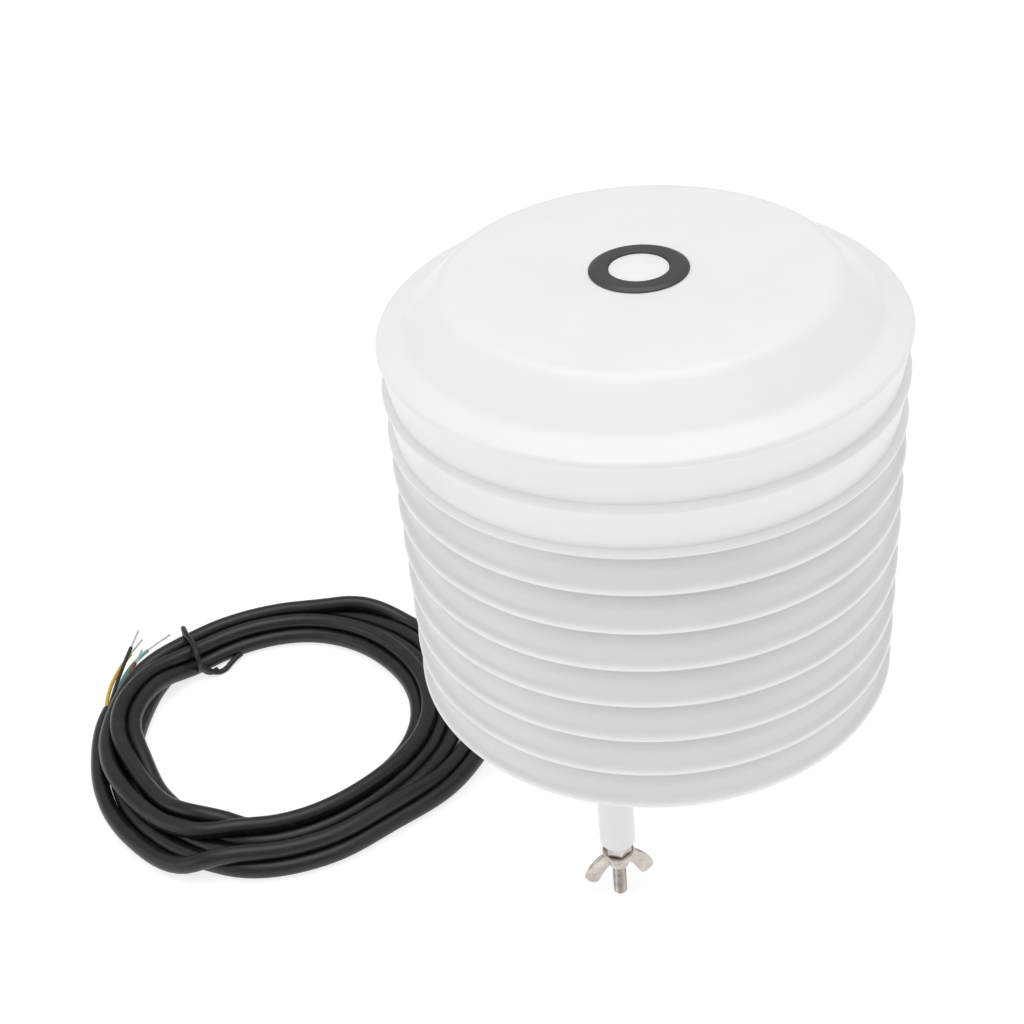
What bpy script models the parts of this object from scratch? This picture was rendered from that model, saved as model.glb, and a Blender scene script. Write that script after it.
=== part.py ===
"""Louvred weather sensor: a stack of round shield plates under a domed cap, on three threaded rods.

Lengths are metres, +Z is up. The origin is on the shield's axis, at the level of the three rod tips.
"""

import math

import bmesh
import bpy
import numpy as np
from mathutils import Vector

# Shield stack
RIM_RADIUS = 0.0690          # every rim of the stack has this radius
STANDING_HEIGHT = 0.0563     # from the rod tips to the lowest rim
PLATE_PITCH = 0.0120
PLATE_COUNT = 7
RIM_THICKNESS = 0.0013
CHAMBER_RADIUS = 0.0400      # open middle of each plate
WEB_TOP = 0.0099             # flat web of a plate, above its own rim
WEB_UNDERSIDE = 0.0083
BASE_RIM_Z = 0.1394
HOUSING_RIM_Z = 0.1521
CAP_RIM_Z = 0.1648
CAP_TOP_Z = 0.1788
TURNED_SIDES = 30
CLEARANCE = 0.0003

# Housing
BASE_FLOOR_UNDERSIDE = STANDING_HEIGHT + PLATE_COUNT * PLATE_PITCH + WEB_UNDERSIDE
BASE_FLOOR_TOP = BASE_FLOOR_UNDERSIDE + 0.0020
BOARD_RADIUS = 0.0430
BOARD_Z = 0.1552
BOARD_THICKNESS = 0.0016
BOARD_SCREW_CIRCLE = 0.0370
CAP_SCREW_CIRCLE = 0.0540

# Legs
ROD_RADIUS = 0.0020
ROD_CIRCLE = 0.0500
ROD_TOP_Z = 0.1555
ROD_HOLE_RADIUS = 0.0024
FIRST_LEG_ANGLE = math.radians(-104.456)
SLEEVE_RADIUS = 0.0050
SLEEVE_BOTTOM_Z = 0.0222
NUT_ACROSS_FLATS = 0.0070
HEX_NUT_BOTTOM_Z = 0.0182
WING_NUT_TOP_Z = 0.0179
WING_NUT_BOTTOM_Z = 0.0122
WING_THICKNESS = 0.0018
FIRST_WING_ANGLE = math.radians(14.5)

# Light sensor in the middle of the cap
BEZEL_RADIUS = 0.0129
BEZEL_BORE = 0.0081
BEZEL_BARREL = 0.0100
BEZEL_TOP_Z = 0.1804

# Air probe and cable gland, side by side under the housing floor
PROBE_X = -0.0140
GLAND_X = 0.0140
PROBE_HOLE_RADIUS = 0.0051
GLAND_HOLE_RADIUS = 0.0062
GLAND_MOUTH_Z = 0.1320

# Cable
CABLE_RADIUS = 0.0027
COIL_CENTRE = Vector((-0.1240, 0.0224, 0.0))
COIL_INNER_RADIUS = 0.0440
COIL_OUTER_RADIUS = 0.0675
COIL_BOTTOM_Z = 0.0022
COIL_TOP_Z = 0.0165
TIE_ANGLE = math.radians(137.0)
TIE_RADIUS = 0.0008
CORE_RADIUS = 0.0007
CORE_START_ANGLE = 3.02
CORE_END_ANGLE = 2.56


def clear_scene():
    for obj in list(bpy.data.objects):
        bpy.data.objects.remove(obj)


def new_collection(name):
    collection = bpy.data.collections.new(name)
    bpy.context.scene.collection.children.link(collection)
    return collection


def material(name, colour, roughness, metallic=0.0):
    made = bpy.data.materials.new(name)
    made.use_nodes = True
    shader = made.node_tree.nodes["Principled BSDF"]
    shader.inputs["Base Color"].default_value = (*colour, 1.0)
    shader.inputs["Roughness"].default_value = roughness
    shader.inputs["Metallic"].default_value = metallic
    return made


def finish_piece(obj, finish):
    """Gives a solid its finish and smooth shading, with sharp edges kept."""
    obj.data.materials.clear()
    obj.data.materials.append(finish)
    if obj.type == "MESH":
        obj.data.shade_smooth()
        obj.data.set_sharp_from_angle(angle=math.radians(35))
    return obj


def turned(name, profile, collection, sides=TURNED_SIDES, closed=True):
    """A profile of (radius, height) points, outer side from top to bottom, turned about the Z axis.

    A profile that isn't closed starts and ends on the axis.
    """
    mesh = bpy.data.meshes.new(name)
    points = [(radius, 0.0, height) for radius, height in profile]
    count = len(points)
    edges = [(i, (i + 1) % count) for i in range(count if closed else count - 1)]
    mesh.from_pydata(points, edges, [])
    obj = bpy.data.objects.new(name, mesh)
    collection.objects.link(obj)
    screw = obj.modifiers.new("Turn", "SCREW")
    screw.axis = "Z"
    screw.angle = math.tau
    screw.steps = sides
    screw.render_steps = sides
    screw.use_merge_vertices = True
    screw.merge_threshold = 0.00001
    screw.use_normal_calculate = False
    return obj


def cylinder(name, radius, low, high, collection, sides=12, x=0.0, y=0.0):
    """An upright cylinder, or a hexagon or other prism with few sides."""
    mesh = bpy.data.meshes.new(name)
    shape = bmesh.new()
    bmesh.ops.create_cone(
        shape, cap_ends=True, segments=sides, radius1=radius, radius2=radius, depth=high - low
    )
    bmesh.ops.translate(shape, verts=shape.verts, vec=(0.0, 0.0, (low + high) / 2))
    shape.to_mesh(mesh)
    shape.free()
    obj = bpy.data.objects.new(name, mesh)
    obj.location = (x, y, 0.0)
    collection.objects.link(obj)
    return obj


def outline_plate(name, outline, thickness, collection):
    """A flat outline in the XZ plane, given a thickness along Y and made a mesh."""
    curve = bpy.data.curves.new(name, "CURVE")
    curve.dimensions = "2D"
    curve.fill_mode = "BOTH"
    curve.extrude = thickness / 2
    spline = curve.splines.new("POLY")
    spline.points.add(len(outline) - 1)
    for point, (across, up) in zip(spline.points, outline):
        point.co = (across, up, 0.0, 1.0)
    spline.use_cyclic_u = True
    guide = bpy.data.objects.new(name + "_outline", curve)
    guide.rotation_euler = (math.radians(90), 0.0, 0.0)
    collection.objects.link(guide)
    return curve_to_mesh(guide, name, collection)


def curve_to_mesh(guide, name, collection):
    """The curve's evaluated solid as a mesh object, its loose caps joined to its sides."""
    bpy.context.view_layer.update()
    graph = bpy.context.evaluated_depsgraph_get()
    mesh = bpy.data.meshes.new_from_object(guide.evaluated_get(graph))
    shape = bmesh.new()
    shape.from_mesh(mesh)
    bmesh.ops.remove_doubles(shape, verts=shape.verts, dist=0.000001)
    shape.to_mesh(mesh)
    shape.free()
    obj = bpy.data.objects.new(name, mesh)
    obj.matrix_world = guide.matrix_world
    collection.objects.link(obj)
    bpy.data.objects.remove(guide)
    return obj


def tube(name, points, radius, collection, finish, sides_setting=2, loop=False):
    """A round tube along a list of points, with flat ends."""
    curve = bpy.data.curves.new(name, "CURVE")
    curve.dimensions = "3D"
    curve.bevel_depth = radius
    curve.bevel_resolution = sides_setting
    curve.use_fill_caps = not loop
    spline = curve.splines.new("POLY")
    spline.points.add(len(points) - 1)
    for point, place in zip(spline.points, points):
        point.co = (*place, 1.0)
    spline.use_cyclic_u = loop
    obj = bpy.data.objects.new(name, curve)
    collection.objects.link(obj)
    curve.materials.append(finish)
    return obj


def boolean(obj, operation, tool):
    modifier = obj.modifiers.new(operation.title(), "BOOLEAN")
    modifier.operation = operation
    modifier.object = tool
    modifier.solver = "EXACT"


def as_tool(obj, tools):
    """Marks an object as a cutter or a shape to be joined, which isn't a piece itself."""
    for collection in obj.users_collection:
        collection.objects.unlink(obj)
    tools.objects.link(obj)
    obj.hide_render = True
    obj.display_type = "WIRE"
    return obj


def settle(obj):
    """Replaces the object's mesh by its evaluated one, so that copies can share it."""
    bpy.context.view_layer.update()
    graph = bpy.context.evaluated_depsgraph_get()
    mesh = bpy.data.meshes.new_from_object(obj.evaluated_get(graph))
    obj.modifiers.clear()
    obj.data = mesh
    return obj


def around(circle, angle):
    return circle * math.cos(angle), circle * math.sin(angle)


def leg_angles():
    return [FIRST_LEG_ANGLE + i * math.tau / 3 for i in range(3)]


def between_leg_angles():
    return [angle + math.pi / 3 for angle in leg_angles()]


def make_top_cap(parts, tools, finish):
    """Domed lid: flat top, sloping shoulder, brim, and a skirt that reaches down over the housing."""
    skirt_end = CAP_RIM_Z - 0.0108
    profile = [
        (0.0103, CAP_TOP_Z),
        (0.0500, CAP_TOP_Z),
        (0.0522, CAP_TOP_Z - 0.0007),
        (0.0616, CAP_RIM_Z + 0.0033),
        (0.0640, CAP_RIM_Z + 0.0023),
        (0.0684, CAP_RIM_Z + 0.0014),
        (RIM_RADIUS, CAP_RIM_Z + 0.0010),
        (RIM_RADIUS, CAP_RIM_Z),
        (0.0676, CAP_RIM_Z - 0.0002),
        (0.0672, skirt_end),
        (0.0652, skirt_end),
        (0.0652, 0.1624),
        (0.0607, 0.1624),
        (0.0590, 0.1664),
        (0.0505, 0.1766),
        (0.0103, 0.1766),
    ]
    cap = turned("top_cap", profile, parts)
    for angle in between_leg_angles():
        x, y = around(CAP_SCREW_CIRCLE, angle)
        boss = cylinder("cap_boss", 0.0036, BASE_FLOOR_TOP + CLEARANCE, 0.1710, tools, 12, x, y)
        hole = cylinder("cap_boss_hole", 0.0017, 0.1400, 0.1650, tools, 10, x, y)
        boolean(cap, "UNION", as_tool(boss, tools))
        boolean(cap, "DIFFERENCE", as_tool(hole, tools))
    return finish_piece(cap, finish)


def make_light_sensor(parts, finishes):
    """Bezel with its barrel through the cap, and what is in and on the barrel."""
    flange = CAP_TOP_Z + CLEARANCE
    bezel = turned(
        "sensor_bezel",
        [
            (BEZEL_BORE, BEZEL_TOP_Z - 0.0004),
            (BEZEL_BORE + 0.0005, BEZEL_TOP_Z),
            (BEZEL_RADIUS - 0.0008, BEZEL_TOP_Z),
            (BEZEL_RADIUS, BEZEL_TOP_Z - 0.0006),
            (BEZEL_RADIUS, flange),
            (BEZEL_BARREL, flange),
            (BEZEL_BARREL, 0.1682),
            (BEZEL_BORE, 0.1682),
        ],
        parts,
        24,
    )
    finish_piece(bezel, finishes["black"])
    diffuser = turned(
        "light_diffuser",
        [
            (0.0, BEZEL_TOP_Z - 0.0001),
            (0.0045, BEZEL_TOP_Z - 0.0003),
            (0.0078, BEZEL_TOP_Z - 0.0010),
            (0.0078, 0.1765),
            (0.0, 0.1765),
        ],
        parts,
        24,
        closed=False,
    )
    finish_piece(diffuser, finishes["diffuser"])
    finish_piece(cylinder("light_sensor_board", 0.0077, 0.1706, 0.1718, parts, 20), finishes["board"])
    seal = turned(
        "bezel_seal",
        [(0.0104, 0.1763), (0.0136, 0.1763), (0.0136, 0.1751), (0.0104, 0.1751)],
        parts,
        20,
    )
    finish_piece(seal, finishes["rubber"])
    nut = turned(
        "bezel_ring_nut",
        [(0.0104, 0.1748), (0.0142, 0.1748), (0.0142, 0.1716), (0.0104, 0.1716)],
        parts,
        20,
    )
    finish_piece(nut, finishes["black"])


def make_housing_ring(parts, finish):
    """Solid-walled section: rim, skirt below it, and a spigot that the cap fits over."""
    profile = [
        (0.0620, 0.1590),
        (0.0646, 0.1590),
        (0.0646, 0.1536),
        (0.0670, 0.1533),
        (RIM_RADIUS, 0.1530),
        (RIM_RADIUS, HOUSING_RIM_Z),
        (0.0676, HOUSING_RIM_Z - 0.0001),
        (0.0672, 0.1411),
        (0.0654, 0.1411),
        (0.0654, 0.1511),
        (0.0620, 0.1536),
    ]
    return finish_piece(turned("housing_ring", profile, parts), finish)


def make_cap_seal(parts, finish):
    profile = [(0.0612, 0.1621), (0.0640, 0.1621), (0.0640, 0.1593), (0.0612, 0.1593)]
    return finish_piece(turned("cap_seal", profile, parts), finish)


def make_housing_base(parts, tools, finish):
    """Floor of the housing, with the topmost louvre rim as its flange."""
    profile = [
        (0.0, BASE_FLOOR_TOP),
        (0.0636, BASE_FLOOR_TOP),
        (0.0650, BASE_FLOOR_TOP - 0.0012),
        (0.0650, BASE_RIM_Z + RIM_THICKNESS + 0.0001),
        (RIM_RADIUS, BASE_RIM_Z + RIM_THICKNESS),
        (RIM_RADIUS, BASE_RIM_Z),
        (0.0632, BASE_RIM_Z),
        (0.0632, BASE_FLOOR_UNDERSIDE),
        (0.0, BASE_FLOOR_UNDERSIDE),
    ]
    base = turned("housing_base", profile, parts, closed=False)
    standoff_top = BOARD_Z - CLEARANCE
    for angle in between_leg_angles():
        x, y = around(BOARD_SCREW_CIRCLE, angle)
        standoff = cylinder("standoff", 0.0030, BASE_FLOOR_TOP - 0.0010, standoff_top, tools, 10, x, y)
        pilot = cylinder("pilot", 0.0015, BASE_FLOOR_TOP + 0.0004, 0.1700, tools, 8, x, y)
        boolean(base, "UNION", as_tool(standoff, tools))
        boolean(base, "DIFFERENCE", as_tool(pilot, tools))
    holes = [(PROBE_X, 0.0, PROBE_HOLE_RADIUS, 16), (GLAND_X, 0.0, GLAND_HOLE_RADIUS, 16)]
    holes += [(*around(ROD_CIRCLE, angle), ROD_HOLE_RADIUS, 12) for angle in leg_angles()]
    holes += [(*around(CAP_SCREW_CIRCLE, angle), 0.0018, 10) for angle in between_leg_angles()]
    for x, y, radius, sides in holes:
        hole = cylinder("base_hole", radius, 0.1400, 0.1530, tools, sides, x, y)
        boolean(base, "DIFFERENCE", as_tool(hole, tools))
    return finish_piece(base, finish)


def pan_head_screw(name, x, y, head_z, shank_end, shank_radius, collection, finish):
    """A screw whose head lies on the side away from its shank's end."""
    direction = 1.0 if head_z > shank_end else -1.0
    head = [
        (0.0, head_z + direction * 0.0018),
        (0.0018, head_z + direction * 0.0016),
        (0.0028, head_z + direction * 0.0006),
        (0.0028, head_z),
        (shank_radius, head_z),
        (shank_radius, shank_end),
        (0.0, shank_end),
    ]
    if direction < 0:
        head.reverse()
    screw = turned(name, head, collection, 10, closed=False)
    screw.location = (x, y, 0.0)
    return finish_piece(screw, finish)


def make_boards_and_screws(parts, tools, finishes):
    board = cylinder("main_board", BOARD_RADIUS, BOARD_Z, BOARD_Z + BOARD_THICKNESS, parts, 36)
    for number, angle in enumerate(between_leg_angles(), 1):
        x, y = around(BOARD_SCREW_CIRCLE, angle)
        hole = cylinder("board_hole", 0.0016, 0.1500, 0.1600, tools, 8, x, y)
        boolean(board, "DIFFERENCE", as_tool(hole, tools))
        board_top = BOARD_Z + BOARD_THICKNESS + CLEARANCE
        pan_head_screw(f"board_screw_{number}", x, y, board_top, 0.1516, 0.0011, parts, finishes["steel"])
        x, y = around(CAP_SCREW_CIRCLE, angle)
        floor = BASE_FLOOR_UNDERSIDE - CLEARANCE
        pan_head_screw(f"cap_screw_{number}", x, y, floor, 0.1630, 0.0014, parts, finishes["steel"])
    finish_piece(board, finishes["board"])


def plate_profile():
    """Section of a louvre plate, heights measured from its own rim."""
    return [
        (CHAMBER_RADIUS, WEB_TOP),
        (0.0585, WEB_TOP),
        (0.0646, 0.0072),
        (0.0671, 0.0034),
        (0.0676, 0.0015),
        (RIM_RADIUS, RIM_THICKNESS),
        (RIM_RADIUS, 0.0),
        (0.0672, 0.0),
        (0.0654, 0.0030),
        (0.0632, 0.0062),
        (0.0578, WEB_UNDERSIDE),
        (CHAMBER_RADIUS, WEB_UNDERSIDE),
    ]


def make_louvre_plates(parts, tools, finish):
    """Seven equal plates, each with three spacer bosses that carry the plate above."""
    first = turned("louvre_plate_1", plate_profile(), parts)
    boss_top = PLATE_PITCH + WEB_UNDERSIDE - CLEARANCE
    for angle in leg_angles():
        x, y = around(ROD_CIRCLE, angle)
        boss = cylinder("plate_boss", 0.0048, WEB_UNDERSIDE + 0.0006, boss_top, tools, 12, x, y)
        hole = cylinder("plate_hole", ROD_HOLE_RADIUS, 0.0, 0.0300, tools, 12, x, y)
        boolean(first, "UNION", as_tool(boss, tools))
        boolean(first, "DIFFERENCE", as_tool(hole, tools))
    settle(first)
    finish_piece(first, finish)
    for number in range(1, PLATE_COUNT + 1):
        plate = first if number == 1 else bpy.data.objects.new(f"louvre_plate_{number}", first.data)
        plate.location.z = STANDING_HEIGHT + (PLATE_COUNT - number) * PLATE_PITCH
        if number > 1:
            parts.objects.link(plate)


def hex_nut(name, across_flats, bore, low, high, parts, tools, finish, place=(0.0, 0.0), turn=0.0):
    """A hexagon nut with a plain bore."""
    nut = cylinder(name, across_flats / math.sqrt(3.0), low, high, parts, 6, *place)
    nut.rotation_euler.z = turn
    hole = cylinder(name + "_bore", bore, low - 0.0020, high + 0.0020, tools, 12, *place)
    boolean(nut, "DIFFERENCE", as_tool(hole, tools))
    return finish_piece(nut, finish)


def make_wing_nut_shape(parts, tools):
    """Hub with two wings that lean away from the nut above, about a plain bore."""
    hub = [
        (0.0023, WING_NUT_TOP_Z),
        (0.0043, WING_NUT_TOP_Z),
        (0.0043, WING_NUT_TOP_Z - 0.0012),
        (0.0034, WING_NUT_TOP_Z - 0.0026),
        (0.0030, WING_NUT_BOTTOM_Z),
        (0.0023, WING_NUT_BOTTOM_Z),
    ]
    wing = [
        (0.0027, 0.0168),
        (0.0048, 0.0173),
        (0.0082, 0.0146),
        (0.0102, 0.0112),
        (0.0104, 0.0092),
        (0.0092, 0.0070),
        (0.0076, 0.0064),
        (0.0062, 0.0078),
        (0.0045, 0.0114),
        (0.0027, 0.0132),
    ]
    nut = turned("wing_nut_1", hub, parts, 16)
    for side in (1.0, -1.0):
        blade = outline_plate("wing", [(side * x, z) for x, z in wing], WING_THICKNESS, tools)
        boolean(nut, "UNION", as_tool(blade, tools))
    return settle(nut)


def make_leg(number, angle, wing_mesh, parts, tools, finishes):
    """A threaded rod from its tip up into the housing, with the sleeve and nuts on it."""
    x, y = around(ROD_CIRCLE, angle)
    rod = turned(
        f"threaded_rod_{number}",
        [
            (0.0, ROD_TOP_Z),
            (ROD_RADIUS, ROD_TOP_Z),
            (ROD_RADIUS, 0.0006),
            (ROD_RADIUS - 0.0006, 0.0),
            (0.0, 0.0),
        ],
        parts,
        12,
        closed=False,
    )
    rod.location = (x, y, 0.0)
    finish_piece(rod, finishes["steel"])
    sleeve_top = STANDING_HEIGHT + WEB_UNDERSIDE - CLEARANCE
    sleeve = turned(
        f"leg_sleeve_{number}",
        [
            (ROD_HOLE_RADIUS, sleeve_top),
            (SLEEVE_RADIUS, sleeve_top),
            (SLEEVE_RADIUS, SLEEVE_BOTTOM_Z),
            (ROD_HOLE_RADIUS, SLEEVE_BOTTOM_Z),
        ],
        parts,
        20,
    )
    sleeve.location = (x, y, 0.0)
    finish_piece(sleeve, finishes["sleeve"])
    bore = ROD_RADIUS + CLEARANCE
    nut_top = SLEEVE_BOTTOM_Z - CLEARANCE
    flats = NUT_ACROSS_FLATS
    steel = finishes["steel"]
    hex_nut(
        f"hex_nut_{number}", flats, bore, HEX_NUT_BOTTOM_Z, nut_top, parts, tools, steel, (x, y), angle
    )
    low = BASE_FLOOR_TOP + CLEARANCE
    hex_nut(f"rod_top_nut_{number}", flats, bore, low, low + 0.0032, parts, tools, steel, (x, y), angle)
    wing = bpy.data.objects.new(f"wing_nut_{number}", wing_mesh)
    wing.location = (x, y, 0.0)
    wing.rotation_euler.z = FIRST_WING_ANGLE + (number - 1) * math.radians(100)
    parts.objects.link(wing)


def make_probe(parts, tools, finishes):
    """Air temperature and humidity probe, hanging in the middle of the plates."""
    shoulder = BASE_FLOOR_UNDERSIDE - CLEARANCE
    body = turned(
        "probe_body",
        [
            (0.0, 0.1540),
            (0.0048, 0.1540),
            (0.0048, shoulder),
            (0.0075, shoulder),
            (0.0075, shoulder - 0.0028),
            (0.0056, shoulder - 0.0028),
            (0.0056, 0.1210),
            (0.0, 0.1210),
        ],
        parts,
        18,
        closed=False,
    )
    body.location.x = PROBE_X
    finish_piece(body, finishes["black"])
    cap = turned(
        "probe_filter",
        [(0.0, 0.1207), (0.0062, 0.1207), (0.0062, 0.0985), (0.0046, 0.0960), (0.0, 0.0955)],
        parts,
        18,
        closed=False,
    )
    cap.location.x = PROBE_X
    finish_piece(cap, finishes["sintered"])
    low = BASE_FLOOR_TOP + CLEARANCE
    hex_nut(
        "probe_nut", 0.0130, 0.0051, low, low + 0.0024, parts, tools, finishes["black"], (PROBE_X, 0.0)
    )


def make_gland(parts, tools, finishes):
    """Cable gland: hexagon body under the floor, lock nut above it, domed nut on the cable."""
    hexagon_top = BASE_FLOOR_UNDERSIDE - CLEARANCE
    hexagon_low = hexagon_top - 0.0048
    body = cylinder(
        "gland_body", 0.0150 / math.sqrt(3.0), hexagon_low, hexagon_top, parts, 6, GLAND_X, 0.0
    )
    thread = cylinder("gland_thread", 0.0058, hexagon_top - 0.0010, 0.1545, tools, 16, GLAND_X, 0.0)
    boolean(body, "UNION", as_tool(thread, tools))
    finish_piece(body, finishes["black"])
    low = BASE_FLOOR_TOP + CLEARANCE
    hex_nut(
        "gland_lock_nut", 0.0160, 0.0061, low, low + 0.0030, parts, tools, finishes["black"], (GLAND_X, 0.0)
    )
    dome = turned(
        "gland_dome_nut",
        [
            (0.0, hexagon_low - CLEARANCE),
            (0.0080, hexagon_low - CLEARANCE),
            (0.0080, hexagon_low - 0.0050),
            (0.0066, hexagon_low - 0.0085),
            (0.0044, GLAND_MOUTH_Z),
            (0.0, GLAND_MOUTH_Z),
        ],
        parts,
        18,
        closed=False,
    )
    dome.location.x = GLAND_X
    finish_piece(dome, finishes["black"])


def smooth_route(route, spacing):
    """Points about one spacing apart on a smooth curve through the route's points."""
    route = np.array(route, float)
    ends = np.vstack([2 * route[0] - route[1], route, 2 * route[-1] - route[-2]])
    pieces = []
    for before, start, end, after in zip(ends, ends[1:], ends[2:], ends[3:]):
        steps = max(2, int(np.linalg.norm(end - start) / spacing))
        t = np.arange(steps)[:, None] / steps
        pieces.append(
            0.5
            * (
                2 * start
                + (end - before) * t
                + (2 * before - 5 * start + 4 * end - after) * t**2
                + (3 * start - before - 3 * end + after) * t**3
            )
        )
    return np.vstack([*pieces, route[-1:]])


def lead_route():
    """From the gland's mouth down to the floor, then round behind the third leg to the coil's side."""
    return [
        (GLAND_X, 0.0, GLAND_MOUTH_Z - CLEARANCE),
        (GLAND_X, 0.0, 0.1100),
        (GLAND_X, 0.0003, 0.0850),
        (0.0140, 0.0015, 0.0600),
        (0.0139, 0.0045, 0.0380),
        (0.0132, 0.0120, 0.0200),
        (0.0110, 0.0230, 0.0085),
        (0.0060, 0.0360, 0.0038),
        (-0.0030, 0.0480, 0.0029),
        (-0.0160, 0.0560, 0.0029),
        (-0.0310, 0.0572, 0.0029),
        (-0.0436, 0.0508, 0.0029),
        (-0.0510, 0.0400, 0.0029),
        (-0.0532, 0.0300, 0.0029),
        (-0.0533, 0.0200, 0.0029),
    ]


def make_cable(parts, finishes):
    tube("cable_lead", smooth_route(lead_route(), 0.0060), CABLE_RADIUS, parts, finishes["cable"])
    edge = 0.0045
    coil = turned(
        "cable_coil",
        [
            (COIL_INNER_RADIUS + edge, COIL_TOP_Z),
            (COIL_OUTER_RADIUS - edge, COIL_TOP_Z),
            (COIL_OUTER_RADIUS - 0.0012, COIL_TOP_Z - 0.0030),
            (COIL_OUTER_RADIUS, COIL_TOP_Z - 0.0065),
            (COIL_OUTER_RADIUS, COIL_BOTTOM_Z + 0.0025),
            (COIL_OUTER_RADIUS - edge, COIL_BOTTOM_Z),
            (COIL_INNER_RADIUS + edge, COIL_BOTTOM_Z),
            (COIL_INNER_RADIUS, COIL_BOTTOM_Z + 0.0025),
            (COIL_INNER_RADIUS, COIL_TOP_Z - 0.0050),
        ],
        parts,
        36,
    )
    coil.location = COIL_CENTRE
    finish_piece(coil, finishes["cable"])


def make_tie(parts, finish):
    """A soft wire bent once round the coil."""
    away = Vector((math.cos(TIE_ANGLE), math.sin(TIE_ANGLE), 0.0))
    middle = COIL_CENTRE + away * (COIL_INNER_RADIUS + COIL_OUTER_RADIUS) / 2
    half_width = (COIL_OUTER_RADIUS - COIL_INNER_RADIUS) / 2 + TIE_RADIUS + 0.0006
    low = COIL_BOTTOM_Z - TIE_RADIUS - 0.0004
    high = COIL_TOP_Z + TIE_RADIUS + 0.0006
    corner = 0.0030
    path = []
    for quarter, (side, level) in enumerate([(1, high), (-1, high), (-1, low), (1, low)]):
        for step in range(4):
            turn = math.pi / 2 * (quarter + step / 3)
            across = side * (half_width - corner) + corner * math.cos(turn)
            up = level + corner * (math.sin(turn) - (1 if level == high else -1))
            place = middle + away * across
            path.append((place.x, place.y, up))
    tube("cable_tie", path, TIE_RADIUS, parts, finish, 2, loop=True)


def make_cores(parts, finishes):
    """Four stripped cores that lie beside the coil, past the end of the jacket."""
    pitch = 2 * CORE_RADIUS + 0.0004
    fans = [("yellow", 0, 0), ("black", 1, 0), ("red", 0, 1), ("green", 1, 1)]
    for colour, column, row in fans:
        path = []
        for step in range(9):
            share = step / 8
            angle = CORE_START_ANGLE + (CORE_END_ANGLE - CORE_START_ANGLE) * share
            out, up = around(COIL_OUTER_RADIUS + 0.0016 + pitch * column * (1 + share), angle)
            height = 0.0060 + pitch * row * (1 + share)
            path.append((COIL_CENTRE.x + out, COIL_CENTRE.y + up, height))
        tube(f"core_{colour}", path, CORE_RADIUS, parts, finishes[colour], 1)


def make_finishes():
    return {
        "shell": material("white_shell", (0.86, 0.86, 0.86), 0.32),
        "sleeve": material("white_sleeve", (0.82, 0.81, 0.81), 0.35),
        "black": material("black_plastic", (0.02, 0.02, 0.022), 0.35),
        "diffuser": material("white_diffuser", (0.90, 0.90, 0.90), 0.45),
        "rubber": material("black_rubber", (0.03, 0.03, 0.03), 0.8),
        "board": material("green_board", (0.03, 0.20, 0.09), 0.45),
        "steel": material("nickel_steel", (0.62, 0.58, 0.54), 0.28, 1.0),
        "sintered": material("sintered_metal", (0.55, 0.55, 0.56), 0.6, 0.8),
        "cable": material("black_cable", (0.018, 0.018, 0.018), 0.42),
        "yellow": material("core_yellow", (0.80, 0.52, 0.05), 0.4),
        "red": material("core_red", (0.30, 0.06, 0.05), 0.4),
        "green": material("core_green", (0.10, 0.38, 0.33), 0.4),
    }


def main():
    clear_scene()
    parts = new_collection("weather_sensor")
    tools = new_collection("tools")
    finishes = make_finishes()
    make_top_cap(parts, tools, finishes["shell"])
    make_light_sensor(parts, finishes)
    make_housing_ring(parts, finishes["shell"])
    make_cap_seal(parts, finishes["rubber"])
    make_housing_base(parts, tools, finishes["shell"])
    make_boards_and_screws(parts, tools, finishes)
    make_louvre_plates(parts, tools, finishes["shell"])
    first_wing_nut = make_wing_nut_shape(parts, tools)
    wing_mesh = finish_piece(first_wing_nut, finishes["steel"]).data
    bpy.data.objects.remove(first_wing_nut)
    for number, angle in enumerate(leg_angles(), 1):
        make_leg(number, angle, wing_mesh, parts, tools, finishes)
    make_probe(parts, tools, finishes)
    make_gland(parts, tools, finishes)
    make_cable(parts, finishes)
    make_tie(parts, finishes["cable"])
    make_cores(parts, finishes)


main()
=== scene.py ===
"""Looks of the louvred weather sensor: turned shield plates, threaded legs, light sensor and cable."""

import math

import bpy
import numpy as np
from mathutils import Matrix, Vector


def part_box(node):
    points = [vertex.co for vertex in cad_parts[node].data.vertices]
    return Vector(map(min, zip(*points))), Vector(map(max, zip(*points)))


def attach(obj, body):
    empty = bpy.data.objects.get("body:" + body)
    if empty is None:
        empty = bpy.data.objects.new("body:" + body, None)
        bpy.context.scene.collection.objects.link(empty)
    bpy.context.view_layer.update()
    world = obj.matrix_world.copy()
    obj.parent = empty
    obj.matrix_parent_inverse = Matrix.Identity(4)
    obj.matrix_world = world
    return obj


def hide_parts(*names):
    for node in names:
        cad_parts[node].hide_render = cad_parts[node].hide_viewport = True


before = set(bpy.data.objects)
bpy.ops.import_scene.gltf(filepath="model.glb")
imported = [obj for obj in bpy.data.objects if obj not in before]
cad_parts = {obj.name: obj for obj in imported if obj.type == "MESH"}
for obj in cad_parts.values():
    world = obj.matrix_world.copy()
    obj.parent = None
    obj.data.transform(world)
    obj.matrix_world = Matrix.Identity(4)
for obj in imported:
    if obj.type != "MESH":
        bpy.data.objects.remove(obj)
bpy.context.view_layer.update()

BODY = "sensor"
LEGS = (1, 2, 3)
SHIELD_SIDES = 192
UPRIGHT = np.array([0.0, 0.0, 1.0])

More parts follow.
